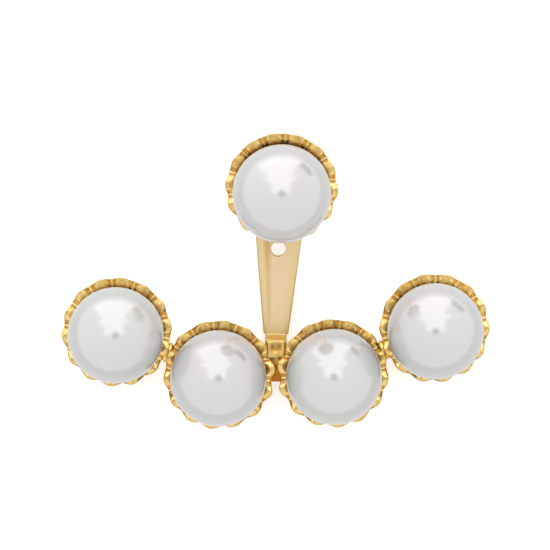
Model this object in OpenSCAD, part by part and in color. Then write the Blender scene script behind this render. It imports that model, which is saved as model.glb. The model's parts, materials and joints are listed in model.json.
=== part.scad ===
// Ear jacket earring: a pearl stud whose post carries a pierced strap, and on the strap's
// lower end a curved row of four pearls in fluted cups. It lies on its back, pearls up,
// with the stud towards +Y. Millimetres.

/* [Pearls] */
// Radius of a pearl
pearl_r = 4; // [3.8:0.1:4.1]
// Gap between a pearl and the floor of its cup
pearl_gap = 0.1; // [0.05:0.05:0.2]

/* [Cups] */
// Petals round each cup
petals = 14; // [10:1:18]
// Height of a cup, from its base to the tips of its petals
cup_h = 2.9; // [2.7:0.1:3.1]
// Outer radius of a cup's base
cup_base_r = 2.6; // [2.4:0.1:2.8]
// Outer radius of the rim at the notches between petals
cup_notch_r = 4.3; // [4.25:0.01:4.32]
// How far a petal bulges out past its notches
petal_bulge = 0.27; // [0.2:0.01:0.28]
// How far a notch lies below the petals' tips
notch_drop = 0.5; // [0.3:0.05:0.6]
// Thickness of a cup's wall
cup_wall = 0.3; // [0.25:0.05:0.3]
// Thickness of a cup's floor
cup_floor = 0.4; // [0.3:0.1:0.5]

/* [Row of four] */
// Distance between the middles of the two inner cups
inner_pitch = 9.6; // [9.5:0.05:9.7]
// Sideways step from an inner cup to its outer neighbour
outer_step = 8.42; // [8.4:0.01:8.45]
// How far the outer cups lie above the inner ones
outer_rise = 3.71; // [3.7:0.01:3.75]
// Radius of the bead of solder between an outer and an inner cup
bead_r = 0.65; // [0.6:0.05:0.7]

/* [Strap] */
// Thickness of the strap
strap_t = 0.8; // [0.7:0.05:0.9]
// Width of the strap's upper, straight part
strap_top_w = 4; // [3.8:0.1:4.2]
// Width of the strap where it starts to bend forward
strap_low_w = 2.1; // [2:0.05:2.3]
// Width of the bent end between the two inner cups
tab_w = 1.8; // [1.7:0.05:1.9]
// Sideways lean of the strap, in degrees
strap_lean = 2.4; // [0:0.1:3]
// Radius of the three holes
hole_r = 0.62; // [0.6:0.01:0.7]
// Distance from one hole to the next
hole_pitch = 3.68; // [3.6:0.01:3.8]
// Metal beyond the middle of the top hole
strap_tip = 1.45; // [1.3:0.05:1.6]

/* [Stud] */
// Radius of the post
post_r = 0.4; // [0.35:0.01:0.45]
// Room for the ear lobe, from the stud's cup to the strap
lobe_gap = 5.3; // [5.2:0.1:5.6]
// How far the stud nods in the loose hole, in degrees
stud_nod = 9.5; // [6:0.5:11]
// How far the post reaches out behind the clutch
post_end = 1; // [0.9:0.05:1.2]
// Length of the plain land between the post's groove and its tip
post_land = 0.65; // [0.55:0.05:0.7]
// Depth of the groove that the clutch snaps into
groove_depth = 0.1; // [0.05:0.01:0.12]

/* [Clutch] */
// Radius of the clutch's flange
flange_r = 1.8; // [1.6:0.1:1.9]
// Thickness of the flange
flange_t = 0.5; // [0.4:0.1:0.6]
// Radius of the clutch's barrel
barrel_r = 1.2; // [1.1:0.1:1.4]
// Length of the whole clutch
clutch_l = 2.4; // [2.2:0.1:2.8]
// Gap between the strap's back and the clutch, on the post's axis
clutch_gap = 0.5; // [0.5:0.05:0.8]

/* [Hidden] */
$fn = 64;

gold = [0.86, 0.66, 0.32];
satin_gold = [0.88, 0.75, 0.55];
pearl_white = [0.93, 0.92, 0.91];

// A pearl's middle above the base of its cup
pearl_z = cup_floor + pearl_gap + pearl_r;

// Middles of the four cups, from left to right, with the turn of each cup's petals in degrees
inner_x = inner_pitch / 2;
outer_x = inner_x + outer_step;
cup_x = 0;
cup_y = 1;
cup_turn = 2;
cups = [
    [-outer_x, outer_rise, -8],
    [-inner_x, 0, -8],
    [inner_x, 0, 5],
    [outer_x, outer_rise, 11]
];
stud_turn = 8;

// The beads of solder between two cups, above the cups' bases
bead_z = 2.2;
bead_sides = 12;

// A cup's wall: the lines up each petal, and the levels round it
petal_lines = 4;
lines = petals * petal_lines;
outer_levels = [0, 0.3, 0.55, 0.8, 1];
inner_levels = [1, 0.75, 0.45, 0.2, 0];
flute_power = 1.5;

// The strap's bends, seen from the side: y up the strap, z forward
shelf_y = 2.88;
tab_front_z = 2.4;
tab_low_y = -0.8;
back_bend_r = 0.5;
front_bend_r = 0.2;
bend_end_y = shelf_y + back_bend_r;
taper_top_y = 11.8;

// How far the strap's blanks and cutters run past its surface
past = 1;
side_blank_w = strap_top_w + 4 * past;
front_blank_z = tab_front_z + past;
back_blank_z = strap_t + past;

// Holes along the leaning strap, from the lowest to the one that the post goes through
strap_foot_y = 2.4;
low_hole_s = 7.77;
holes_s = [for (i = [0:2]) low_hole_s + i * hole_pitch];
post_s = holes_s[2];
post_x = post_s * sin(strap_lean);
post_y = strap_foot_y + post_s * cos(strap_lean);

// The post's ends, measured from the middle of the strap's thickness
stud_base_s = strap_t / 2 + lobe_gap;
clutch_front_s = strap_t / 2 + clutch_gap;
post_tip_s = clutch_front_s + clutch_l + post_end;
tip_chamfer = 0.15;
groove_w = 0.56;
clutch_bore_r = post_r + 0.03;

// The tilt at which the post's tip and the inner cups' bases stand on one plane
tip_r = post_r - tip_chamfer;
tip_y = post_y - tip_r * cos(stud_nod) + post_tip_s * sin(stud_nod);
tip_z = -strap_t / 2 - tip_r * sin(stud_nod) - post_tip_s * cos(stud_nod);
rest_tilt = atan(-tip_z / (tip_y + cup_base_r));
floor_z = -cup_base_r * sin(rest_tilt);

// The middle of the earring's length as it lies
post_tilt = rest_tilt + stud_nod;
low_end_y = -(cup_notch_r + petal_bulge) * cos(rest_tilt) - cup_h * sin(rest_tilt);
post_lie_y = post_y * cos(rest_tilt) + strap_t / 2 * sin(rest_tilt);
high_end_y = post_lie_y + barrel_r * cos(post_tilt) + (clutch_front_s + clutch_l) * sin(post_tilt);
middle_y = (low_end_y + high_end_y) / 2;

// Place of a line across its petal, from -1 at one notch through 0 at the tip
function across(line) = 2 * (line % petal_lines) / petal_lines - 1;
function swell(line) = 1 - pow(across(line), 2);
function rim_h(line) = cup_h - notch_drop * (1 - swell(line));
function line_angle(line) = 360 * (line - petal_lines / 2) / lines - 90;

// The wall's outer radius on a line, at a height above the base
function wall_r(line, h) =
    let (up = h / rim_h(line))
    cup_base_r + (cup_notch_r - cup_base_r) * up
        + petal_bulge * pow(up, flute_power) * swell(line);

function on_line(line, r, h) = [r * cos(line_angle(line)), r * sin(line_angle(line)), h];

function outer_ring(level) = [
    for (line = [0:lines - 1])
        let (h = level * rim_h(line))
        on_line(line, wall_r(line, h), h)
];

function inner_ring(level) = [
    for (line = [0:lines - 1])
        let (h = cup_floor + level * (rim_h(line) - cup_floor))
        on_line(line, wall_r(line, h) - cup_wall, h)
];

// Two triangles for each step round a band between one ring and the next
function band(ring) = [
    for (line = [0:lines - 1])
        let (a = ring * lines + line, b = ring * lines + (line + 1) % lines)
        each [[a, a + lines, b], [b, a + lines, b + lines]]
];

// A fluted cup with its base on z = 0
module fluted_cup() {
    rings = [
        for (level = outer_levels) outer_ring(level),
        for (level = inner_levels) inner_ring(level)
    ];
    walls = len(rings) * lines;
    points = [for (ring = rings) each ring, [0, 0, 0], [0, 0, cup_floor]];
    last = (len(rings) - 1) * lines;
    sides = [for (ring = [0:len(rings) - 2]) each band(ring)];
    base = [for (line = [0:lines - 1]) [walls, line, (line + 1) % lines]];
    seat = [for (line = [0:lines - 1]) [walls + 1, last + (line + 1) % lines, last + line]];
    polyhedron(points = points, faces = concat(sides, base, seat), convexity = 6);
}

// Half of the strap's outline is given, and mirrored
function strap_half() = [
    [tab_w / 2, tab_low_y - strap_foot_y],
    [tab_w / 2, shelf_y - strap_foot_y],
    [strap_low_w / 2, bend_end_y - strap_foot_y],
    [strap_top_w / 2, taper_top_y - strap_foot_y],
    [strap_top_w / 2, post_s + strap_tip - strap_top_w / 2]
];

module strap_outline() {
    half = strap_half();
    other = [for (i = [len(half) - 1:-1:0]) [-half[i].x, half[i].y]];
    polygon(concat(half, other));
    translate([0, post_s + strap_tip - strap_top_w / 2]) circle(r = strap_top_w / 2);
}

module quarter_ring(inner_r) {
    intersection() {
        difference() {
            circle(r = inner_r + strap_t);
            circle(r = inner_r);
        }
        square(inner_r + strap_t);
    }
}

// The strap from the side: flat, forward between the inner cups, then down again
module strap_side() {
    top_y = strap_foot_y + post_s + strap_tip + past;
    shelf_end_z = tab_front_z - strap_t - front_bend_r;
    tab_top_y = shelf_y - strap_t - front_bend_r;
    translate([bend_end_y, -strap_t]) square([top_y - bend_end_y, strap_t]);
    translate([bend_end_y, back_bend_r]) rotate(180) quarter_ring(back_bend_r);
    translate([shelf_y - strap_t, back_bend_r]) square([strap_t, shelf_end_z - back_bend_r]);
    translate([tab_top_y, shelf_end_z]) quarter_ring(front_bend_r);
    translate([tab_low_y, tab_front_z - strap_t]) square([tab_top_y - tab_low_y, strap_t]);
}

module strap() {
    translate([0, strap_foot_y, 0]) rotate([0, 0, -strap_lean])
        difference() {
            intersection() {
                translate([0, 0, -back_blank_z])
                    linear_extrude(height = back_blank_z + front_blank_z) strap_outline();
                translate([-side_blank_w / 2, -strap_foot_y, 0])
                    rotate([90, 0, 90])
                        linear_extrude(height = side_blank_w) strap_side();
            }
            for (s = holes_s)
                translate([0, s, -strap_t - past]) cylinder(r = hole_r, h = strap_t + 2 * past);
        }
}

module at_cup(cup) {
    translate([cup[cup_x], cup[cup_y], 0]) children();
}

// The bead of solder halfway between two cups
module solder_bead(a, b) {
    translate([(a[cup_x] + b[cup_x]) / 2, (a[cup_y] + b[cup_y]) / 2, bead_z])
        sphere(r = bead_r, $fn = bead_sides);
}

// From the jacket's own plane to the way the earring lies
module laid() {
    translate([0, -middle_y, -floor_z]) rotate([rest_tilt, 0, 0]) children();
}

// The post's axis, with z towards the stud
module on_post() {
    laid() translate([post_x, post_y, -strap_t / 2]) rotate([stud_nod, 0, 0]) children();
}

module jacket_setting() {
    color(gold) laid() union() {
        for (cup = cups)
            at_cup(cup) rotate([0, 0, cup[cup_turn]]) fluted_cup();
        solder_bead(cups[0], cups[1]);
        solder_bead(cups[2], cups[3]);
        strap();
    }
}

module row_pearl(index) {
    color(pearl_white) laid() at_cup(cups[index]) translate([0, 0, pearl_z]) sphere(r = pearl_r);
}

// The post, from its chamfered tip past its groove and into the floor of the stud's cup
module post() {
    land_end_s = tip_chamfer + post_land - post_tip_s;
    rotate_extrude() polygon([
        [0, -post_tip_s],
        [tip_r, -post_tip_s],
        [post_r, tip_chamfer - post_tip_s],
        [post_r, land_end_s],
        [post_r - groove_depth, land_end_s + groove_w / 2],
        [post_r, land_end_s + groove_w],
        [post_r, stud_base_s + cup_floor / 2],
        [0, stud_base_s + cup_floor / 2]
    ]);
}

module stud_setting() {
    color(gold) on_post() union() {
        translate([0, 0, stud_base_s]) rotate([0, 0, stud_turn]) fluted_cup();
        post();
    }
}

module stud_pearl() {
    color(pearl_white) on_post() translate([0, 0, stud_base_s + pearl_z]) sphere(r = pearl_r);
}

module clutch() {
    color(satin_gold) on_post() difference() {
        union() {
            translate([0, 0, -clutch_front_s - flange_t]) cylinder(r = flange_r, h = flange_t);
            translate([0, 0, -clutch_front_s - clutch_l]) cylinder(r = barrel_r, h = clutch_l);
        }
        translate([0, 0, -clutch_front_s - clutch_l - past])
            cylinder(r = clutch_bore_r, h = clutch_l + 2 * past);
    }
}

jacket_setting();
row_pearl(0);  // pearl_1
row_pearl(1);  // pearl_2
row_pearl(2);  // pearl_3
row_pearl(3);  // pearl_4
stud_setting();
stud_pearl();
clutch();
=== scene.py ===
"""The looks of an ear jacket earring: pearls, fluted gold cups and a satin strap, on a pale floor."""
import json
import math
import random
from collections import namedtuple

import bmesh
import bpy
from mathutils import Matrix, Vector, noise


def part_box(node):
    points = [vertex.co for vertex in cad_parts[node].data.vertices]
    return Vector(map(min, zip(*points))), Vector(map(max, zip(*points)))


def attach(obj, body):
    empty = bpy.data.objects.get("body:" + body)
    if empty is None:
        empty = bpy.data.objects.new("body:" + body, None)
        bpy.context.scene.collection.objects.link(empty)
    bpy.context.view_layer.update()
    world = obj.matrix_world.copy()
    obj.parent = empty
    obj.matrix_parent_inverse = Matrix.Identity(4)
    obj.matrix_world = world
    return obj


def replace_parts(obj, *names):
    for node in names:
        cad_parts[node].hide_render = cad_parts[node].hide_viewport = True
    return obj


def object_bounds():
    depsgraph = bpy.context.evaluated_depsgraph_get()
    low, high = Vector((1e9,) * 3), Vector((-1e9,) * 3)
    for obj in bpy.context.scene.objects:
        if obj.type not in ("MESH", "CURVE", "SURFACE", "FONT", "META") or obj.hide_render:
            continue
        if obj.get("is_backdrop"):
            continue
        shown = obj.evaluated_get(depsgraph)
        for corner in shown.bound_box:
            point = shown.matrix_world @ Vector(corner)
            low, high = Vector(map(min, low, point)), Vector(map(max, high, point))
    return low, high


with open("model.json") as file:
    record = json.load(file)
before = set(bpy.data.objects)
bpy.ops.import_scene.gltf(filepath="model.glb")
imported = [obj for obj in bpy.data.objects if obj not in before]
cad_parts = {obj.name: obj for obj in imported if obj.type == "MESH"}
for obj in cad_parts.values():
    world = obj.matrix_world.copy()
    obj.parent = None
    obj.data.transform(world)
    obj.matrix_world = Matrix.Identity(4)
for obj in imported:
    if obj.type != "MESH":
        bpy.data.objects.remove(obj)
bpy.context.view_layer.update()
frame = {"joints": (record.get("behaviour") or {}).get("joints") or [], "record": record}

MM = 0.001

# What the solids have too. Sizes are in millimetres, with R for a radius, W for a width, T for a
# thickness, H for a height and L for a length
PEARL_R = 4.0
PEARL_GAP = 0.1
PETALS = 14
CUP_H = 2.9
CUP_BASE_R = 2.6
CUP_FLOOR = 0.4
CUP_WALL = 0.3
PEARL_Z = CUP_FLOOR + PEARL_GAP + PEARL_R
FLUTE_POWER = 1.5
STRAP_T = 0.8
STRAP_TOP_W = 4.0
STRAP_LOW_W = 2.1
STRAP_FOOT_Y = 2.4
STRAP_TIP = 1.45
TAPER_TOP_Y = 11.8
HOLE_R = 0.62
TAB_W = 1.8
TAB_FRONT_Z = 2.4
TAB_LOW_Y = -0.8
SHELF_Y = 2.88
BEAD_R = 0.65
BEAD_Z = 2.2
POST_R = 0.4
POST_LAND = 0.65
TIP_CHAMFER = 0.15
GROOVE_DEPTH = 0.1
GROOVE_W = 0.56
CLUTCH_L = 2.4
CLUTCH_BORE_R = 0.43
FLANGE_R = 1.8
FLANGE_T = 0.5
BARREL_R = 1.2

# Places along the post, measured from the middle of the strap's thickness: the base of the stud's cup
# in front of it, and the clutch's front and the post's tip behind it
STUD_BASE_S = 5.7
CLUTCH_FRONT_S = 0.9
POST_TIP_S = 4.3

# Sizes that differ from the solids: the petals, whose notches follow the photo's outline more closely
# here, and the bend at the strap's foot, which is tighter
CUP_NOTCH_R = 4.43
PETAL_BULGE = 0.18
NOTCH_DROP = 0.72
BACK_BEND_R = 0.12
BEND_END_Y = SHELF_Y + BACK_BEND_R

# The pearls of the row, from left to right, and how far each cup's petals are turned, in degrees
ROW = ["pearl_1", "pearl_2", "pearl_3", "pearl_4"]
CUP_TURNS = {"pearl_1": -8, "pearl_2": -8, "pearl_3": 5, "pearl_4": 11, "stud_pearl": 8}


# Places, from the frame

def facing(way):
    """The turn that leaves x to the right and points z a given way."""
    x = Vector((1, 0, 0))
    return Matrix((x, way.cross(x), way)).transposed().to_4x4()


def space(origin, up):
    """The matrix of a space with x to the right and z along up, from millimetres to metres."""
    return Matrix.Translation(origin) @ facing(up.normalized()) @ Matrix.Scale(MM, 4)


def middle_of(node):
    """The middle of a solid's box."""
    low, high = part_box(node)
    return (low + high) / 2


swivel = frame["joints"][0]
mounts = {mount["name"]: mount for mount in frame["record"]["mounts"]}
STRAP_UP = Vector(mounts["lower_hole"]["axis"])


def base_under(pearl_middle):
    """The middle of the base of a cup in the row, from the middle of its pearl."""
    return pearl_middle - STRAP_UP.normalized() * PEARL_Z * MM


JACKET = space(base_under((middle_of("pearl_2") + middle_of("pearl_3")) / 2), STRAP_UP)
JACKET_BACK = JACKET.inverted()
STUD = space(Vector(swivel["pos_m"]), Vector(swivel["axis"]))
# The strap's holes, from the lowest to the one that the post goes through
HOLES = [
    JACKET_BACK @ Vector(hole["pos_m"])
    for hole in (mounts["lower_hole"], mounts["middle_hole"], swivel)
]
LEANING = HOLES[2] - HOLES[0]
STRAP_LEAN = math.atan2(LEANING.x, LEANING.y)
STRAP_LEANING = (Matrix.Translation((0, STRAP_FOOT_Y, 0)) @ Matrix.Rotation(-STRAP_LEAN, 4, "Z")
                 @ Matrix.Translation((0, -STRAP_FOOT_Y, 0)))
# How far up the strap the post's hole lies, and where the round of the strap's tip has its middle
POST_S = (HOLES[2].y - STRAP_FOOT_Y) / math.cos(STRAP_LEAN)
TIP_MIDDLE_Y = STRAP_FOOT_Y + POST_S + STRAP_TIP - STRAP_TOP_W / 2


# Mesh tools

def add_object(name, data):
    """A new object in the scene."""
    thing = bpy.data.objects.new(name, data)
    bpy.context.scene.collection.objects.link(thing)
    return thing


def new_mesh(name, bm, place):
    """The mesh of a bmesh whose points are in a space's millimetres, with its faces turned outward."""
    bm.transform(place)
    bmesh.ops.recalc_face_normals(bm, faces=bm.faces)
    mesh = bpy.data.meshes.new(name)
    bm.to_mesh(mesh)
    bm.free()
    return mesh


def shade_smooth(mesh):
    for face in mesh.polygons:
        face.use_smooth = True


def make_object(name, bm, material, body, place):
    """A piece from a bmesh whose points are in a space's millimetres."""
    mesh = new_mesh(name, bm, place)
    shade_smooth(mesh)
    mesh.materials.append(material)
    piece = add_object(name, mesh)
    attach(piece, body)
    return piece


def add_wall(bm, near, far):
    """A strip of faces between two lines of points."""
    for i in range(len(near) - 1):
        bm.faces.new((near[i], near[i + 1], far[i + 1], far[i]))


def add_rings(bm, rings, looped=False):
    """Joins rings of points into a tube: its ends are closed by fans or, if looped, joined together."""
    loops = [[bm.verts.new(point) for point in ring] for ring in rings]
    followers = loops[1:] + loops[:1] if looped else loops[1:]
    for near, far in zip(loops, followers):
        add_wall(bm, near + near[:1], far + far[:1])
    if not looped:
        for loop in (loops[0], loops[-1]):
            hub = bm.verts.new(sum((vert.co for vert in loop), Vector()) / len(loop))
            for vert, following in zip(loop, loop[1:] + loop[:1]):
                bm.faces.new((hub, vert, following))
    return loops


def polar(radius, angle, height):
    """A point at a radius and an angle round the z axis."""
    return (radius * math.cos(angle), radius * math.sin(angle), height)


def arc(centre, radius, start, end, steps):
    """Points of an arc in the plane, from one angle to another, in degrees."""
    points = []
    for i in range(steps + 1):
        angle = math.radians(start + (end - start) * i / steps)
        points.append((centre[0] + radius * math.cos(angle), centre[1] + radius * math.sin(angle)))
    return points


def turned(profile, sides=96):
    """Rings of a lathe-turned shape from (radius, height) points."""
    angles = [2 * math.pi * i / sides for i in range(sides)]
    return [[polar(radius, angle, height) for angle in angles] for radius, height in profile]


# Material tools. A noise's scale is its number of cells to a metre, or to one unit of a mapping

def feed(tree, port, value):
    """Gives an input what it needs: a socket, a number, or the three numbers of a colour or a vector."""
    if isinstance(value, bpy.types.NodeSocket):
        tree.links.new(value, port)
    elif port.type == "RGBA":
        port.default_value = (*value, 1)
    else:
        port.default_value = value


def feed_inputs(tree, node, values):
    """Feeds a node's inputs by their names."""
    for name, value in values.items():
        feed(tree, node.inputs[name], value)


def new_material(name):
    """A node material, with its node tree, its shader and its coordinates."""
    material = bpy.data.materials.new(name)
    material.use_nodes = True
    tree = material.node_tree
    shader = tree.nodes["Principled BSDF"]
    place = tree.nodes.new("ShaderNodeTexCoord")
    return material, tree, shader, place.outputs["Object"]


def noise_node(tree, place, scale, detail=2.0, rough=0.5):
    node = tree.nodes.new("ShaderNodeTexNoise")
    feed_inputs(tree, node, {"Vector": place, "Scale": scale, "Detail": detail, "Roughness": rough})
    return node.outputs["Fac"]


def ramp_node(tree, value, stops):
    """A colour ramp, from (place, colour) stops."""
    node = tree.nodes.new("ShaderNodeValToRGB")
    ramp = node.color_ramp
    while len(ramp.elements) < len(stops):
        ramp.elements.new(0.5)
    for element, (at, colour) in zip(ramp.elements, stops):
        element.position = at
        element.color = (*colour, 1)
    feed(tree, node.inputs["Fac"], value)
    return node.outputs["Color"]


def range_node(tree, value, low, high, low_from=0.0, high_from=1.0):
    """Maps a value from one range to another, and keeps it inside."""
    node = tree.nodes.new("ShaderNodeMapRange")
    feed_inputs(tree, node, {"Value": value, "From Min": low_from, "From Max": high_from,
                             "To Min": low, "To Max": high})
    return node.outputs["Result"]


def mix_node(tree, kind, factor, first, second):
    """Mixes two colours by a factor. Each of the three is a value or a socket."""
    node = tree.nodes.new("ShaderNodeMix")
    node.data_type = "RGBA"
    node.blend_type = kind
    ports = {port.identifier: port for port in node.inputs}
    feed(tree, ports["Factor_Float"], factor)
    feed(tree, ports["A_Color"], first)
    feed(tree, ports["B_Color"], second)
    return {port.identifier: port for port in node.outputs}["Result_Color"]


def math_node(tree, kind, *values):
    """Arithmetic on values, each a number or a socket."""
    node = tree.nodes.new("ShaderNodeMath")
    node.operation = kind
    for port, value in zip(node.inputs, values):
        feed(tree, port, value)
    return node.outputs["Value"]


def bump_node(tree, height, depth):
    node = tree.nodes.new("ShaderNodeBump")
    feed_inputs(tree, node, {"Height": height, "Distance": depth, "Strength": 1.0})
    return node.outputs["Normal"]


def attribute_node(tree, name):
    """A number that the points of a mesh carry, or nought where they don't."""
    node = tree.nodes.new("ShaderNodeAttribute")
    node.attribute_name = name
    return node.outputs["Fac"]


def mapping_node(tree, place, matrix):
    """Coordinates moved by a matrix."""
    node = tree.nodes.new("ShaderNodeMapping")
    shift, turn, scale = matrix.decompose()
    feed_inputs(tree, node, {"Vector": place, "Location": shift, "Rotation": turn.to_euler(),
                             "Scale": scale})
    return node.outputs["Vector"]


# Materials

WHITE = (1.0, 1.0, 1.0)
BLACK = (0.0, 0.0, 0.0)

# Noises of a pearl: the clouds of its tint, the film on its gloss and the waves of its skin
CLOUD_SCALE = 140
FILM_SCALE = 500
SKIN_WAVE_SCALE = 420
SKIN_WAVE_DEPTH = 0.01 * MM


def pearl_material():
    """White imitation pearl: a soft lustrous body, faint rose and green clouds and a clear gloss."""
    material, tree, shader, place = new_material("pearl_lustre")
    clouds = noise_node(tree, place, CLOUD_SCALE, detail=3)
    film = noise_node(tree, place, FILM_SCALE)
    waves = noise_node(tree, place, SKIN_WAVE_SCALE, detail=1)
    tint = ramp_node(tree, clouds, [
        (0.35, (0.548, 0.523, 0.526)),
        (0.50, (0.537, 0.529, 0.526)),
        (0.65, (0.523, 0.532, 0.520)),
    ])
    feed_inputs(tree, shader, {
        "Base Color": tint,
        "Roughness": range_node(tree, film, 0.15, 0.19),
        "Normal": bump_node(tree, waves, SKIN_WAVE_DEPTH),
        "Metallic": 0.3,
        "Specular IOR Level": 0.3,
        "Coat Weight": 0.3,
        "Coat Roughness": 0.09,
        "Coat IOR": 1.4,
        "Subsurface Weight": 0.08,
        "Subsurface Radius": (MM, MM, MM),
        "Subsurface Scale": 0.5,
    })
    return material


# The colour that the plating turns to where it is seen at a grazing angle
GRAZING_TINT = (1.0, 0.82, 0.5)
# The plating's painted highlight on the ridges between two petals
RIDGE_HIGHLIGHT_GOLD = (0.93, 0.76, 0.40)
# What darkens the plating along the petals' outer edges, and in patches
EDGE_SHADE = (0.78, 0.74, 0.66)
PATCH_SHADE = (0.86, 0.76, 0.60)
# Noises of the cast plating: its patches, its waves and its fine grain
PATCH_SCALE = 1300
WAVE_SCALE = 2200
GRAIN_SCALE = 6000
# How many times as deep the waves are as the grain
WAVE_SHARE = 5


def gold_material(name, light, shaded_tone, roughness, grain_depth):
    """Gold-coloured plating: deeper in its folds with painted shade, paler on the ridges between petals
    with a painted highlight, and with a fine cast grain.
    """
    material, tree, shader, place = new_material(name)
    patches = noise_node(tree, place, PATCH_SCALE, detail=3)
    waves = noise_node(tree, place, WAVE_SCALE, detail=1)
    grain = noise_node(tree, place, GRAIN_SCALE, detail=4, rough=0.6)
    # Painted shade: a deeper tone where a point lies in a fold
    tone = mix_node(tree, "MIX", attribute_node(tree, "fold_shade"), light, shaded_tone)
    # Painted highlight: a paler tone along the ridges between petals
    tone = mix_node(tree, "MIX", attribute_node(tree, "ridge_highlight"), tone, RIDGE_HIGHLIGHT_GOLD)
    shade = ramp_node(tree, patches, [(0.36, PATCH_SHADE), (0.56, WHITE)])
    tone = mix_node(tree, "MULTIPLY", 1.0, tone, shade)
    tone = mix_node(tree, "MULTIPLY", attribute_node(tree, "edge"), tone, EDGE_SHADE)
    fine = bump_node(tree, grain, grain_depth)
    feed(tree, fine.node.inputs["Normal"], bump_node(tree, waves, WAVE_SHARE * grain_depth))
    feed_inputs(tree, shader, {
        "Base Color": tone,
        "Metallic": 1.0,
        "Specular Tint": GRAZING_TINT,
        "Roughness": range_node(tree, grain, *roughness),
        "Normal": fine,
    })
    return material


# The strap's painted sheen from its left side to its right, darker under the stud's painted shadow
SHEEN = [
    (0.00, (0.64, 0.50, 0.26)),
    (0.14, (0.72, 0.56, 0.30)),
    (0.24, (0.63, 0.45, 0.22)),
    (0.36, (0.735, 0.55, 0.355)),
    (0.66, (0.735, 0.55, 0.355)),
    (0.86, (0.70, 0.54, 0.28)),
    (1.00, (0.66, 0.50, 0.24)),
]
# The stud's painted shadow along the strap's left side: where it lies, its tone, how much of that shows at
# most, and the heights where it starts and where it is full
STUD_SHADOW = [(0.14, BLACK), (0.22, WHITE), (0.27, WHITE), (0.36, BLACK)]
STUD_SHADOW_TONE = (0.46, 0.26, 0.08)
STUD_SHADOW_SHARE = 0.6
STUD_SHADOW_START_Y = SHELF_Y + 5.0
STUD_SHADOW_FULL_Y = TAPER_TOP_Y - 0.5
# Its tone at the foot, and how far up that reaches
FOOT_TONE = (0.71, 0.57, 0.31)
FOOT_REACH = 2.6
# The brushing: cells to a millimetre across, along and through the strap, its shade and its depth
BRUSHING = (6.0, 0.35, 6.0)
BRUSH_SHADE = (0.95, 0.94, 0.92)
BRUSH_DEPTH = 0.004 * MM


def strap_material():
    """Satin plating with a lengthwise brushing and a painted sheen, yellower at its edges and its foot,
    with the stud's painted shadow.
    """
    material, tree, shader, place = new_material("strap_satin_gold")
    along = mapping_node(tree, place, STRAP_LEANING.inverted() @ JACKET_BACK)
    parts = tree.nodes.new("ShaderNodeSeparateXYZ")
    feed(tree, parts.inputs["Vector"], along)
    x, y = parts.outputs["X"], parts.outputs["Y"]
    half_width = range_node(tree, y, STRAP_LOW_W / 2, STRAP_TOP_W / 2, SHELF_Y, TAPER_TOP_Y)
    across = math_node(tree, "MULTIPLY_ADD", math_node(tree, "DIVIDE", x, half_width), 0.5, 0.5)
    rising = range_node(tree, y, 0.0, STUD_SHADOW_SHARE, STUD_SHADOW_START_Y, STUD_SHADOW_FULL_Y)
    # Painted shadow of the stud down the strap's left side, full near its top
    stud_shadow = math_node(tree, "MULTIPLY", ramp_node(tree, across, STUD_SHADOW), rising)
    sheen = mix_node(tree, "MIX", stud_shadow, ramp_node(tree, across, SHEEN), STUD_SHADOW_TONE)
    foot = range_node(tree, y, 1.0, 0.0, SHELF_Y, SHELF_Y + FOOT_REACH)
    tone = mix_node(tree, "MIX", foot, sheen, FOOT_TONE)
    brushing = mapping_node(tree, along, Matrix.Diagonal((*BRUSHING, 1.0)))
    grain = noise_node(tree, brushing, 1.0, detail=3, rough=0.6)
    shade = ramp_node(tree, grain, [(0.3, BRUSH_SHADE), (0.7, WHITE)])
    feed_inputs(tree, shader, {
        "Base Color": mix_node(tree, "MULTIPLY", 1.0, tone, shade),
        "Metallic": 1.0,
        "Specular Tint": GRAZING_TINT,
        "Roughness": range_node(tree, grain, 0.30, 0.40),
        "Normal": bump_node(tree, grain, BRUSH_DEPTH),
    })
    return material


PEARL = pearl_material()
# Each gold's second tone is the painted shade in its folds
GOLD = gold_material("cup_gold", light=(0.80, 0.575, 0.215), shaded_tone=(0.80, 0.49, 0.14),
                     roughness=(0.19, 0.29), grain_depth=0.006 * MM)
TAB_GOLD = gold_material("tab_gold", light=(0.74, 0.56, 0.21), shaded_tone=(0.42, 0.15, 0.02),
                         roughness=(0.28, 0.38), grain_depth=0.002 * MM)
SATIN = strap_material()
NUT_GOLD = gold_material("clutch_gold", light=(0.90, 0.66, 0.32), shaded_tone=(0.75, 0.45, 0.14),
                         roughness=(0.25, 0.36), grain_depth=0.006 * MM)


# Pearls

# How far a pearl's skin lies inside its full radius, and its waves: how close together, how high
SKIN_DEPTH = 0.015
SKIN_WAVES = ((1.6, 0.012), (5.0, 0.003))
# What sets each pearl's waves apart from the one before
SKIN_STEP = Vector((7.3, 2.1, 4.7))


def make_pearl(node, body):
    """A round pearl with the barely uneven skin of a dipped bead."""
    bm = bmesh.new()
    bmesh.ops.create_icosphere(bm, subdivisions=6, radius=1.0)
    shift = list(CUP_TURNS).index(node) * SKIN_STEP
    for vert in bm.verts:
        way = vert.co.normalized()
        wave = sum(noise.noise(way * close + shift) * high for close, high in SKIN_WAVES)
        vert.co = way * (PEARL_R - SKIN_DEPTH + wave)
    place = Matrix.Translation(middle_of(node)) @ Matrix.Scale(MM, 4)
    piece = make_object("bead_of_" + node, bm, PEARL, body, place)
    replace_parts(piece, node)


# Cups

PETAL_LINES = 14
COLUMNS = PETALS * PETAL_LINES
# How steeply the rim falls to a notch
RIM_POWER = 2.1
# How much the petals of a cup differ: in bulge, in how low the tip is, and in how far it leans
BULGE_SHARES = (0.92, 1.0)
TIP_DROP = 0.05
TIP_LEAN = 0.12
# How much further the leaf-like petals swell, and how closely a petal must point their way to do so
LEAF_SWELL = 0.18
LEAF_POWER = 5
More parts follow.
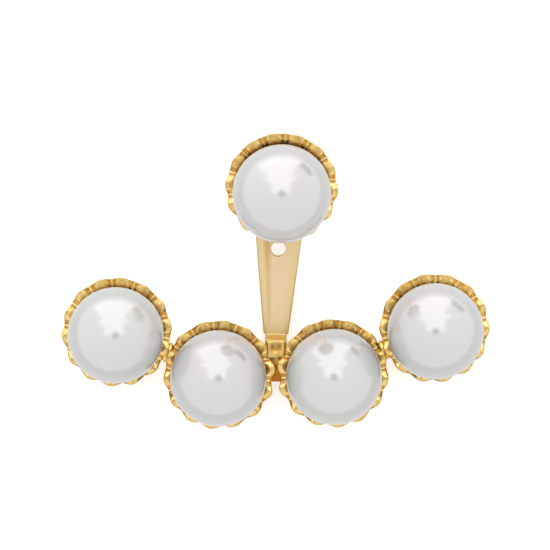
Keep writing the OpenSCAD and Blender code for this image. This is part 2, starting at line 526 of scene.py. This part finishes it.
# How much thinner a petal gets towards the next, and how high and narrow the ridge between them is
LENS_SHARE = 0.08
RIDGE = 0.16
RIDGE_POWER = 6
# How close the painted highlight keeps to a ridge, and how much painted shade the ridge's fold adds
HIGHLIGHT_POWER = 2.5
RIDGE_SHADE = 0.1
# Radii of the base's edge and of the lip
BASE_EDGE_R = 0.16
LIP_R = 0.075
# Rings under the base, as shares of its radius, and how much painted fold shade they carry
BASE_PARTS = (0.25, 0.6, 0.85)
BASE_SHADE = 0.2
# Rings up the outside, as shares of the rim's height, and how much painted fold shade the outside starts
# with
OUTER_LEVELS = (0.12, 0.2, 0.3, 0.4, 0.5, 0.6, 0.7, 0.78, 0.85, 0.91, 0.95)
OUTER_SHADE = 0.25
# How close the edge's shade keeps to the rim outside, and how it fades inside it
EDGE_POWER = 12
EDGE_START = 1.2
EDGE_FALL = 4
# How strong the painted highlight is on the lip where it crosses a ridge
LIP_HIGHLIGHT = 0.6
# Rings down the inside of the petals: depth, inset from the outside, and shares of painted fold shade and
# painted ridge highlight
PETAL_RINGS = (
    (0.005, 0.16, 0.0, 0.8),
    (0.015, 0.28, 0.0, 1.0),
    (0.03, 0.40, 0.05, 1.0),
    (0.05, 0.50, 0.3, 1.0),
    (0.09, 0.58, 0.7, 1.0),
    (0.16, 0.64, 1.0, 0.9),
    (0.28, 0.68, 1.0, 0.6),
    (0.44, 0.70, 1.0, 0.2),
    (0.66, 0.71, 1.0, 0.0),
)
# Rings further down inside, as shares of the rim's height above the floor, how much thicker the wall
# gets up there, and how fast the painted fold shade deepens on the way down
INNER_LEVELS = (0.7, 0.55, 0.4, 0.25, 0.1)
INNER_SWELL = 0.42
INNER_SHADE = 1.6
# Rings on the floor, as shares of its radius
FLOOR_PARTS = (0.95, 0.7, 0.3)

# A line up a cup's wall: its angle, its place across its petal, which is -1 at one notch, 0 in the
# middle and 1 at the next, how far that petal bulges, and the height of its rim
Line = namedtuple("Line", "angle spot bulge rim")


def cup_lines(turn, seed, leaf_way):
    """Lines up a cup's wall, on slightly different petals. Those that point the leaf way swell more."""
    rng = random.Random(seed)
    bulges = [PETAL_BULGE * rng.uniform(*BULGE_SHARES) for _ in range(PETALS)]
    if leaf_way is not None:
        for petal in range(PETALS):
            off = math.radians(360 * petal / PETALS - 90 + turn - leaf_way)
            bulges[petal] += LEAF_SWELL * max(0.0, math.cos(off)) ** LEAF_POWER
    drops = [rng.uniform(0.0, TIP_DROP) for _ in range(PETALS)]
    leans = [rng.uniform(-TIP_LEAN, TIP_LEAN) for _ in range(PETALS)]
    lines = []
    for column in range(COLUMNS):
        petal, number = divmod(column, PETAL_LINES)
        angle = math.radians(360 * (column - PETAL_LINES / 2) / COLUMNS - 90 + turn)
        even = 2 * number / PETAL_LINES - 1
        spot = even + leans[petal] * (1 - even * even)
        rim = CUP_H - NOTCH_DROP * abs(spot) ** RIM_POWER - drops[petal] * (1 - abs(spot))
        lines.append(Line(angle, spot, bulges[petal], rim))
    return lines


def wall_r(line, height):
    """The radius of a cup's outside on a line, at a height."""
    up = height / line.rim
    swell = 0.5 + 0.5 * math.cos(math.pi * line.spot)
    return CUP_BASE_R + (CUP_NOTCH_R - CUP_BASE_R) * up + line.bulge * up ** FLUTE_POWER * swell


def on_wall(line, height, inset=0.0):
    """The (radius, height) of a point on a cup's outside, or an inset further in."""
    return wall_r(line, height) - inset, height


def petal_inset(line, inset):
    """How far in the inside of a petal lies on a line, from its inset in the petal's middle."""
    spot = abs(line.spot)
    return inset * (1 - LENS_SHARE * spot ** 2) + RIDGE * spot ** RIDGE_POWER


def cup_rings(lines):
    """Rings of points from the middle of the base, up outside, over the rim and down inside. With
    them, three shares for each point: how much painted shade it has in its fold, how much painted
    highlight it has near the ridge between two petals, and how near the outer edge."""
    rings, fold_shades, joints, edges = [], [], [], []

    def ring(places, fold_shade, ridge_highlight=0.0, edge=0.0):
        rings.append([polar(radius, line.angle, height) for line, (radius, height) in zip(lines, places)])
        fold_shades.append(fold_shade)
        # joints holds each point's painted ridge highlight
        joints.append([ridge_highlight * abs(line.spot) ** HIGHLIGHT_POWER for line in lines])
        edges.append([edge] * COLUMNS)

    # Painted fold shade, with more painted shade towards the ridges between petals
    def shade_with_ridges(fold_shade):
        return [min(1.0, fold_shade + RIDGE_SHADE * abs(line.spot) ** RIDGE_POWER) for line in lines]

    for part in BASE_PARTS:
        ring([(CUP_BASE_R * part, 0.0)] * COLUMNS, shade_with_ridges(BASE_SHADE))
    for out, up in arc((0.0, 0.0), BASE_EDGE_R, -90, -15, 4):
        ring([(wall_r(line, BASE_EDGE_R) - BASE_EDGE_R + out, BASE_EDGE_R + up) for line in lines],
             shade_with_ridges(BASE_SHADE))
    for level in OUTER_LEVELS:
        ring([on_wall(line, level * line.rim) for line in lines],
             shade_with_ridges(OUTER_SHADE * (1 - level)), edge=level ** EDGE_POWER)
    for out, up in arc((0.0, 0.0), LIP_R, 0, 90, 4):
        ring([(wall_r(line, line.rim) - LIP_R + out, line.rim - LIP_R + up) for line in lines],
             [0.0] * COLUMNS, ridge_highlight=LIP_HIGHLIGHT, edge=1.0)
    for depth, inset, fold_shade, ridge_highlight in PETAL_RINGS:
        level = 1 - depth / CUP_H
        ring([on_wall(line, level * line.rim, petal_inset(line, inset)) for line in lines],
             shade_with_ridges(fold_shade), ridge_highlight, edge=max(0.0, EDGE_START - EDGE_FALL * inset))
    for level in INNER_LEVELS:
        inset = CUP_WALL + INNER_SWELL * level
        ring([on_wall(line, CUP_FLOOR + level * (line.rim - CUP_FLOOR), inset) for line in lines],
             shade_with_ridges(min(1.0, INNER_SHADE * (1 - level))))
    for part in FLOOR_PARTS:
        ring([((CUP_BASE_R - CUP_WALL) * part, CUP_FLOOR)] * COLUMNS, shade_with_ridges(1.0))
    return rings, {"fold_shade": fold_shades, "ridge_highlight": joints, "edge": edges}


def make_cup(name, node, body, place, seed, leaf_way=None):
    """A fluted cup, whose points carry the painted shade, painted highlight and edge darkening that tone
    its gold.
    """
    bm = bmesh.new()
    rings, shares = cup_rings(cup_lines(CUP_TURNS[node], seed, leaf_way))
    for word in shares:
        bm.verts.layers.float.new(word)
    loops = add_rings(bm, rings)
    for word, share in shares.items():
        layer = bm.verts.layers.float[word]
        for loop, values in zip(loops, share):
            for vert, value in zip(loop, values):
                vert[layer] = value
    return make_object(name, bm, GOLD, body, place)


# Strap

# Steps round the tip, down the long flat part, round the bend and along the end towards the tab
TIP_STEPS = 24
FLAT_STEPS = 60
BEND_STEPS = 12
END_STEPS = 5
# The least half width, at the tip
TIP_HALF_W = 0.2
# The radius of the strap's long edges, and the most that it takes of a half width and a half thickness
STRAP_EDGE_R = 0.15
EDGE_SHARE_W = 0.9
EDGE_SHARE_T = 0.95
# How thin the strap is at its tip, over how many stations it thickens, and how thin it is at its end
TIP_THIN = 0.35
TIP_STATIONS = 6
END_THIN = 0.75
# How far a hole's edge is eased, where the middle of that lies, and how far the cutter runs past
HOLE_EASE = 0.09
EASE_MIDDLE = 0.3
CUTTER_PAST = 0.3
# Faces of the strap that meet at more than this many degrees have a sharp edge between them
SHARP_ANGLE = 28


def strap_half_width(y):
    """Half of the strap's width at a height up the strap."""
    if y <= SHELF_Y:
        return TAB_W / 2
    if y <= BEND_END_Y:
        share = (y - SHELF_Y) / BACK_BEND_R
        return (TAB_W + (STRAP_LOW_W - TAB_W) * share) / 2
    if y <= TAPER_TOP_Y:
        share = (y - BEND_END_Y) / (TAPER_TOP_Y - BEND_END_Y)
        return (STRAP_LOW_W + (STRAP_TOP_W - STRAP_LOW_W) * share) / 2
    if y <= TIP_MIDDLE_Y:
        return STRAP_TOP_W / 2
    return math.sqrt(max(0.0, (STRAP_TOP_W / 2) ** 2 - (y - TIP_MIDDLE_Y) ** 2))


def strap_path():
    """Stations along the strap's middle line, from its tip to behind its tab: (y, z, way y, way z)."""
    half = STRAP_T / 2
    tip_r = STRAP_TOP_W / 2
    bend_r = BACK_BEND_R + half
    end_z = TAB_FRONT_Z - STRAP_T
    stations = []
    for i in range(1, TIP_STEPS + 1):
        angle = math.radians(90 * i / TIP_STEPS)
        stations.append((TIP_MIDDLE_Y + tip_r * math.cos(angle), -half, -1.0, 0.0))
    for i in range(1, FLAT_STEPS):
        y = TIP_MIDDLE_Y + (BEND_END_Y - TIP_MIDDLE_Y) * i / FLAT_STEPS
        stations.append((y, -half, -1.0, 0.0))
    for i in range(BEND_STEPS + 1):
        angle = math.radians(-90 - 90 * i / BEND_STEPS)
        stations.append((BEND_END_Y + bend_r * math.cos(angle), BACK_BEND_R + bend_r * math.sin(angle),
                         math.sin(angle), -math.cos(angle)))
    for i in range(1, END_STEPS + 1):
        z = BACK_BEND_R + (end_z - BACK_BEND_R) * i / END_STEPS
        stations.append((SHELF_Y - half, z, 0.0, 1.0))
    return stations


def strap_section(half_w, half_t):
    """A rounded rectangle, as (across, through) points."""
    round_r = min(STRAP_EDGE_R, half_w * EDGE_SHARE_W, half_t * EDGE_SHARE_T)
    points = []
    for side_x, side_z, start in ((1, 1, 0), (-1, 1, 90), (-1, -1, 180), (1, -1, 270)):
        centre = (side_x * (half_w - round_r), side_z * (half_t - round_r))
        points += arc(centre, round_r, start, start + 90, steps=5)
    return points


def strap_rings():
    """The strap's section at each station, thinner at its tip and at its hidden end."""
    stations = strap_path()
    rings = []
    for number, (y, z, way_y, way_z) in enumerate(stations):
        half_w = max(strap_half_width(y), TIP_HALF_W)
        half_t = STRAP_T / 2 * min(1.0, TIP_THIN + (1 - TIP_THIN) * number / TIP_STATIONS)
        if number == len(stations) - 1:
            half_t *= END_THIN
        rings.append([(across, y + way_z * through, z - way_y * through)
                      for across, through in strap_section(half_w, half_t)])
    return rings


def hole_profile():
    """The outline of what cuts a hole: it widens where the hole's edges are eased."""
    face = STRAP_T / 2
    upper = [
        (HOLE_R, face - HOLE_EASE),
        (HOLE_R + HOLE_EASE * EASE_MIDDLE, face - HOLE_EASE * EASE_MIDDLE),
        (HOLE_R + HOLE_EASE, face),
        (HOLE_R + HOLE_EASE + CUTTER_PAST, face + CUTTER_PAST),
    ]
    return [(radius, -height) for radius, height in reversed(upper)] + upper


def cut_hole(piece, place):
    """Cuts a hole through the strap at a place in the jacket's space."""
    bm = bmesh.new()
    add_rings(bm, turned(hole_profile(), sides=64))
    cutter = add_object("cutter", new_mesh("cutter", bm, JACKET @ Matrix.Translation(place)))
    cut = piece.modifiers.new("hole", "BOOLEAN")
    cut.operation = "DIFFERENCE"
    cut.solver = "EXACT"
    cut.object = cutter
    bpy.context.view_layer.update()
    evaluated = piece.evaluated_get(bpy.context.evaluated_depsgraph_get())
    cut_mesh = bpy.data.meshes.new_from_object(evaluated)
    piece.modifiers.clear()
    piece.data = cut_mesh
    bpy.data.objects.remove(cutter)


def make_strap():
    """The tapering strap, swept along its bends, with its three holes cut and their edges eased."""
    bm = bmesh.new()
    add_rings(bm, strap_rings())
    bm.transform(STRAP_LEANING)
    piece = make_object("strap", bm, SATIN, "jacket", JACKET)
    for place in HOLES:
        cut_hole(piece, place)
    shade_smooth(piece.data)
    piece.data.set_sharp_from_angle(angle=math.radians(SHARP_ANGLE))
    return piece


# Tab

TAB_COLUMNS = 40
TAB_ROWS = 80
TAB_EDGE_R = 0.3
# How far the face lies behind the solid's, and its ripples: how high, how close together, and which
# layer of the noise they are
TAB_SINK = 0.04
RIPPLE = 0.03
RIPPLE_CLOSE = 1.4
RIPPLE_LAYER = 4.0
# The dish: its middle, its half width, its depth and how steep its sides are
DISH_X = 0.05
DISH_Y = SHELF_Y - 0.72
DISH_HALF = 0.42
DISH_DEPTH = 0.13
DISH_POWER = 3
# The height where the tab starts to fall back towards its lower end, and how far it falls
FALL_TOP_Y = 1.5
FALL_DEPTH = 0.4
# How much painted shade the face, the dish and the lower end carry
TAB_FACE_SHADE = 0.15
DISH_SHADE = 0.6
LOW_END_SHADE = 0.85


def eased(number, count):
    """A share from 0 to 1, in steps that are closer together near both ends."""
    return 0.5 - 0.5 * math.cos(math.pi * number / count)


def tab_front(x, y):
    """The height of the tab's front at a place, and how much painted shade it carries there."""
    gap = min(TAB_W / 2 - abs(x), SHELF_Y - y, y - TAB_LOW_Y)
    edge_drop = TAB_EDGE_R - math.sqrt(max(0.0, TAB_EDGE_R ** 2 - max(0.0, TAB_EDGE_R - gap) ** 2))
    off_x = abs((x - DISH_X) / DISH_HALF)
    off_y = abs((y - DISH_Y) / DISH_HALF)
    dish = math.exp(-off_x ** DISH_POWER - off_y ** DISH_POWER)
    ripple = RIPPLE * noise.noise(Vector((x * RIPPLE_CLOSE, y * RIPPLE_CLOSE, RIPPLE_LAYER)))
    low = max(0.0, min(1.0, FALL_TOP_Y - y))
    fall = FALL_DEPTH * low * low * (3 - 2 * low)
    face = TAB_FRONT_Z - edge_drop - DISH_DEPTH * dish - TAB_SINK
    fold_shade = min(1.0, TAB_FACE_SHADE + DISH_SHADE * dish + LOW_END_SHADE * low)
    return face + ripple * min(1.0, gap / TAB_EDGE_R) - fall, fold_shade


def make_tab():
    """The cast tab in front of the strap's foot, with a dish near its top and rounded edges."""
    bm = bmesh.new()
    # Painted shade on the tab's face, deepest in its dish and at its lower end
    layer = bm.verts.layers.float.new("fold_shade")
    front, back = [], []
    for row in range(TAB_ROWS + 1):
        y = TAB_LOW_Y + (SHELF_Y - TAB_LOW_Y) * eased(row, TAB_ROWS)
        front_row, back_row = [], []
        for column in range(TAB_COLUMNS + 1):
            x = TAB_W / 2 * (2 * eased(column, TAB_COLUMNS) - 1)
            z, fold_shade = tab_front(x, y)
            vert = bm.verts.new((x, y, z))
            vert[layer] = fold_shade
            front_row.append(vert)
            back_row.append(bm.verts.new((x, y, TAB_FRONT_Z - STRAP_T)))
        front.append(front_row)
        back.append(back_row)
    for sheet in (front, back):
        for near, far in zip(sheet, sheet[1:]):
            add_wall(bm, near, far)
    for column in (0, TAB_COLUMNS):
        add_wall(bm, [row[column] for row in front], [row[column] for row in back])
    for row in (0, TAB_ROWS):
        add_wall(bm, front[row], back[row])
    bm.transform(STRAP_LEANING)
    return make_object("tab", bm, TAB_GOLD, "jacket", JACKET)


# Solder

# Half sizes of a lump, as shares of the bead's radius: towards the cups, along the seam and up
LUMP_SHARES = (0.75, 1.3, 0.85)
# Its waves: how high, how close together, and what sets the second lump's apart
LUMP_WAVE = 0.07
LUMP_CLOSE = 2.2
LUMP_SHIFT = Vector((0.0, 0.7, 1.3))
LUMP_STEP = Vector((3.1, 0.0, 0.0))
# How much painted shade it carries between the cups
LUMP_SHADE = 0.35


def make_lump(bm, layer, number, near, far):
    """A slightly uneven lump of solder, drawn out along the seam between the cups of two pearls."""
    near_base = JACKET_BACK @ base_under(middle_of(near))
    far_base = JACKET_BACK @ base_under(middle_of(far))
    way = far_base - near_base
    middle = (near_base + far_base) / 2 + Vector((0, 0, BEAD_Z))
    spin = Matrix.Rotation(math.atan2(way.y, way.x), 3, "Z")
    shift = LUMP_SHIFT + number * LUMP_STEP
    for vert in bmesh.ops.create_icosphere(bm, subdivisions=4, radius=1.0)["verts"]:
        out = vert.co.normalized()
        swell = 1 + LUMP_WAVE * noise.noise(out * LUMP_CLOSE + shift)
        vert.co = middle + spin @ Vector((out[i] * BEAD_R * LUMP_SHARES[i] * swell for i in range(3)))
        vert[layer] = LUMP_SHADE


def make_solder():
    """The two lumps of solder that join the outer cups to the inner ones."""
    bm = bmesh.new()
    # Painted shade on the solder lumps between the cups
    layer = bm.verts.layers.float.new("fold_shade")
    for number, (near, far) in enumerate((("pearl_1", "pearl_2"), ("pearl_3", "pearl_4"))):
        make_lump(bm, layer, number, near, far)
    return make_object("solder", bm, GOLD, "jacket", JACKET)


# The jacket

# The seed of the first cup's petals, and the ways, in degrees, that the leaf-like petals point
CUP_SEED = 11
LEAF_WAYS = {"pearl_2": 0, "pearl_3": 180}

for index, node in enumerate(ROW):
    make_pearl(node, "jacket")
    cup = make_cup("cup_%d" % (index + 1), node, "jacket", space(base_under(middle_of(node)), STRAP_UP),
                   seed=CUP_SEED + index, leaf_way=LEAF_WAYS.get(node))
    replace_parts(cup, "jacket_setting")

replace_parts(make_strap(), "jacket_setting")
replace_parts(make_tab(), "jacket_setting")
solder = make_solder()
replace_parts(solder, "jacket_setting")


# The stud

# The seed of the stud's petals
STUD_SEED = 29
# The post's tip: its least radius, and how flat it is against a half ball
TIP_R = 0.02
TIP_FLATTEN = 0.4
# Steps along the post's groove
GROOVE_STEPS = 12
# The fillet at the post's foot: its radius, how far below the cup it starts, and how far the foot
# reaches into the cup's floor
FILLET_R = 0.2
FILLET_START = 0.25
FOOT_DEPTH = 0.1
# The radius of the clutch's edges
CLUTCH_EDGE_R = 0.14


def post_profile():
    """The post's outline from its rounded tip, past its groove, to its foot in the cup's floor."""
    land_end = -POST_TIP_S + TIP_CHAMFER + POST_LAND
    points = [(max(radius, TIP_R), -POST_TIP_S + (height + POST_R) * TIP_FLATTEN)
              for radius, height in arc((0.0, 0.0), POST_R, -90, 0, 8)]
    for i in range(GROOVE_STEPS + 1):
        dip = 0.5 - 0.5 * math.cos(2 * math.pi * i / GROOVE_STEPS)
        points.append((POST_R - GROOVE_DEPTH * dip, land_end + GROOVE_W * i / GROOVE_STEPS))
    points.append((POST_R, STUD_BASE_S - FILLET_START))
    points += arc((POST_R + FILLET_R, STUD_BASE_S - FILLET_R), FILLET_R, 150, 90, 2)
    points.append((POST_R + FILLET_R, STUD_BASE_S + FOOT_DEPTH))
    return points


def clutch_profile():
    """The clutch's outline as a closed loop of (radius, height) points."""
    edge = CLUTCH_EDGE_R
    front = -CLUTCH_FRONT_S
    back = front - CLUTCH_L
    waist = front - FLANGE_T
    points = arc((CLUTCH_BORE_R + edge, front - edge), edge, 180, 90, 4)
    points += arc((FLANGE_R - edge, front - edge), edge, 90, 0, 4)
    points += arc((FLANGE_R - edge, waist + edge), edge, 0, -90, 4)
    points += arc((BARREL_R + edge, waist - edge), edge, 90, 180, 4)
    points += arc((BARREL_R - 2 * edge, back + 2 * edge), 2 * edge, 0, -90, 6)
    points += arc((CLUTCH_BORE_R + edge, back + edge), edge, -90, -180, 4)
    return points


def make_turned(name, profile, material, place, looped=False):
    """A lathe-turned piece that moves with the stud."""
    bm = bmesh.new()
    add_rings(bm, turned(profile), looped)
    return make_object(name, bm, material, "stud", place)


make_pearl("stud_pearl", "stud")
stud_cup = make_cup("stud_cup", "stud_pearl", "stud",
                    STUD @ Matrix.Translation((0, 0, STUD_BASE_S)), seed=STUD_SEED)
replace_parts(stud_cup, "stud_setting")
post = make_turned("post", post_profile(), GOLD, STUD)
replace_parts(post, "stud_setting")
clutch = make_turned("friction_nut", clutch_profile(), NUT_GOLD, STUD, looped=True)
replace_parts(clutch, "clutch")


# Floor, light and camera, whose lengths are in metres

# Half the floor's width, and how brightly it glows by itself
FLOOR_HALF = 1.5
FLOOR_GLOW = 0.4
# Strengths of the world's light: above, just below its edge and straight down. The edge's height is
# that of a direction, from -1 to 1, and so is half the width of its blur
SKY = 1.2
BELOW = 0.57
BELOW_FAR = 0.85
BELOW_EDGE = -0.2
EDGE_BLUR = 0.03
# The window: how far towards +Y it stands, where its middle lies, its lower end, and the angle off the
# vertical at which it ends. Its two parts and the skylight have their own half widths and one radiance
PANEL_D = 0.26
PANEL_X = -0.04
PANEL_LOW = 0.02
PANEL_TOP_ANGLE = 20
PANEL_TOP = PANEL_D / math.tan(math.radians(PANEL_TOP_ANGLE))
LOWER_TOP = 0.34
LOWER_HALF = 0.19
UPPER_HALF = 0.34
CEILING_HALF = 0.29
CEILING_END = -0.06
PANEL_RADIANCE = 0.9
# The camera: its roll and its height over the strap's normal, in degrees, its distance, the width that
# it sees there, and its sensor's width in millimetres
ROLL = 0.7
VIEW_ABOVE = 7.5
CAMERA_DISTANCE = 0.25
VIEW_WIDTH = 0.045
SENSOR_WIDTH = 36
# The dark disc round the camera: its radius, its sides and how far back it lies
LENS_R = 0.036
LENS_SIDES = 32
LENS_BACK = 0.002
# The dark card beside the window: its distance, its top, and the bearings of its sides in degrees
CARD_D = 0.3
CARD_TOP = 0.085
CARD_FROM = 33
CARD_TO = 58


def add_flat(name, corners, material):
    """A flat piece with one face."""
    mesh = bpy.data.meshes.new(name)
    mesh.from_pydata(corners, [], [tuple(range(len(corners)))])
    mesh.materials.append(material)
    return add_object(name, mesh)


def grey_material(name, scale, dark, light, settings):
    """A grey that is faintly speckled with two tones."""
    material, tree, shader, place = new_material(name)
    speckle = noise_node(tree, place, scale)
    colour = ramp_node(tree, speckle, [(0.3, (dark,) * 3), (0.7, (light,) * 3)])
    feed_inputs(tree, shader, {"Base Color": colour, **settings})
    return material


def make_floor():
    """The pale floor, which reflections don't see."""
    corners = [(x * FLOOR_HALF, y * FLOOR_HALF, 0) for x, y in ((-1, -1), (1, -1), (1, 1), (-1, 1))]
    pale = grey_material("pale_floor", scale=60, dark=0.80, light=0.82, settings={
        "Roughness": 0.6,
        "Specular IOR Level": 0.2,
        "Emission Color": WHITE,
        "Emission Strength": FLOOR_GLOW,
    })
    floor = add_flat("floor", corners, pale)
    floor.visible_glossy = False
    floor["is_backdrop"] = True


def add_card(name, corners):
    """A dark card that only reflections see."""
    dark = grey_material(name, scale=40, dark=0.010, light=0.014, settings={
        "Roughness": 1.0,
        "Specular IOR Level": 0.0,
    })
    card = add_flat(name, corners, dark)
    card.visible_camera = False
    card.visible_diffuse = False
    card.visible_shadow = False
    card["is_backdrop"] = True


def make_world():
    """Even white light from above, and a dimmer half below that only reflections see."""
    world = bpy.data.worlds.new("studio")
    bpy.context.scene.world = world
    world.use_nodes = True
    tree = world.node_tree
    place = tree.nodes.new("ShaderNodeTexCoord")
    parts = tree.nodes.new("ShaderNodeSeparateXYZ")
    feed(tree, parts.inputs["Vector"], place.outputs["Generated"])
    height = parts.outputs["Z"]
    above = range_node(tree, height, 0.0, 1.0, BELOW_EDGE - EDGE_BLUR, BELOW_EDGE + EDGE_BLUR)
    below = range_node(tree, height, BELOW_FAR, BELOW, -1.0, BELOW_EDGE)
    lift = math_node(tree, "MULTIPLY", above, math_node(tree, "SUBTRACT", SKY, below))
    feed_inputs(tree, tree.nodes["Background"], {
        "Color": WHITE,
        "Strength": math_node(tree, "ADD", below, lift),
    })


def make_camera():
    """The camera, a few degrees above the strap's own normal, as in the photograph, and a dark disc
    round it, which the pearls reflect."""
    low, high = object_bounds()
    middle = (low + high) / 2
    tilt = math.atan2(-STRAP_UP.y, STRAP_UP.z) - math.radians(VIEW_ABOVE)
    way = Vector((0, -math.sin(tilt), math.cos(tilt)))
    data = bpy.data.cameras.new("camera")
    data.sensor_width = SENSOR_WIDTH
    data.lens = SENSOR_WIDTH * CAMERA_DISTANCE / VIEW_WIDTH
    camera = add_object("camera", data)
    camera.matrix_world = (Matrix.Translation(middle + way * CAMERA_DISTANCE) @ facing(way)
                           @ Matrix.Rotation(math.radians(-ROLL), 4, "Z"))
    bpy.context.scene.camera = camera
    disc = turned([(LENS_R, LENS_BACK)], sides=LENS_SIDES)[0]
    add_card("lens", [camera.matrix_world @ Vector(corner) for corner in disc])


def add_panel(name, middle, aim, width, height):
    """A soft rectangular light that looks at aim."""
    light = bpy.data.lights.new(name, "AREA")
    light.shape = "RECTANGLE"
    light.size = width
    light.size_y = height
    light.energy = PANEL_RADIANCE * math.pi * width * height
    lamp = add_object(name, light)
    lamp.location = middle
    lamp.rotation_euler = (Vector(aim) - Vector(middle)).to_track_quat("-Z", "Y").to_euler()
    lamp.visible_camera = False


def make_window():
    """The window above the stud, in two parts, and the skylight that leads on from its top."""
    low, between, top = (PANEL_D, PANEL_LOW), (PANEL_D, LOWER_TOP), (PANEL_D, PANEL_TOP)
    for name, half, near, far in (
        ("window", LOWER_HALF, low, between),
        ("window_top", UPPER_HALF, between, top),
        ("skylight", CEILING_HALF, top, (CEILING_END, PANEL_TOP)),
    ):
        y = (near[0] + far[0]) / 2
        z = (near[1] + far[1]) / 2
        length = math.hypot(near[0] - far[0], near[1] - far[1])
        aim = (PANEL_X, y, 0.0) if name == "skylight" else (PANEL_X, 0.0, z)
        add_panel(name, (PANEL_X, y, z), aim, 2 * half, length)


def round_about(degrees, distance, height):
    """A point at a bearing from +Y towards +X."""
    bearing = math.radians(degrees)
    return (distance * math.sin(bearing), distance * math.cos(bearing), height)


make_floor()
make_world()
make_camera()
make_window()
add_card("dark_edge", [round_about(CARD_FROM, CARD_D, 0.0), round_about(CARD_TO, CARD_D, 0.0),
                       round_about(CARD_TO, CARD_D, CARD_TOP), round_about(CARD_FROM, CARD_D, CARD_TOP)])
bpy.context.scene.view_settings.view_transform = "Standard"
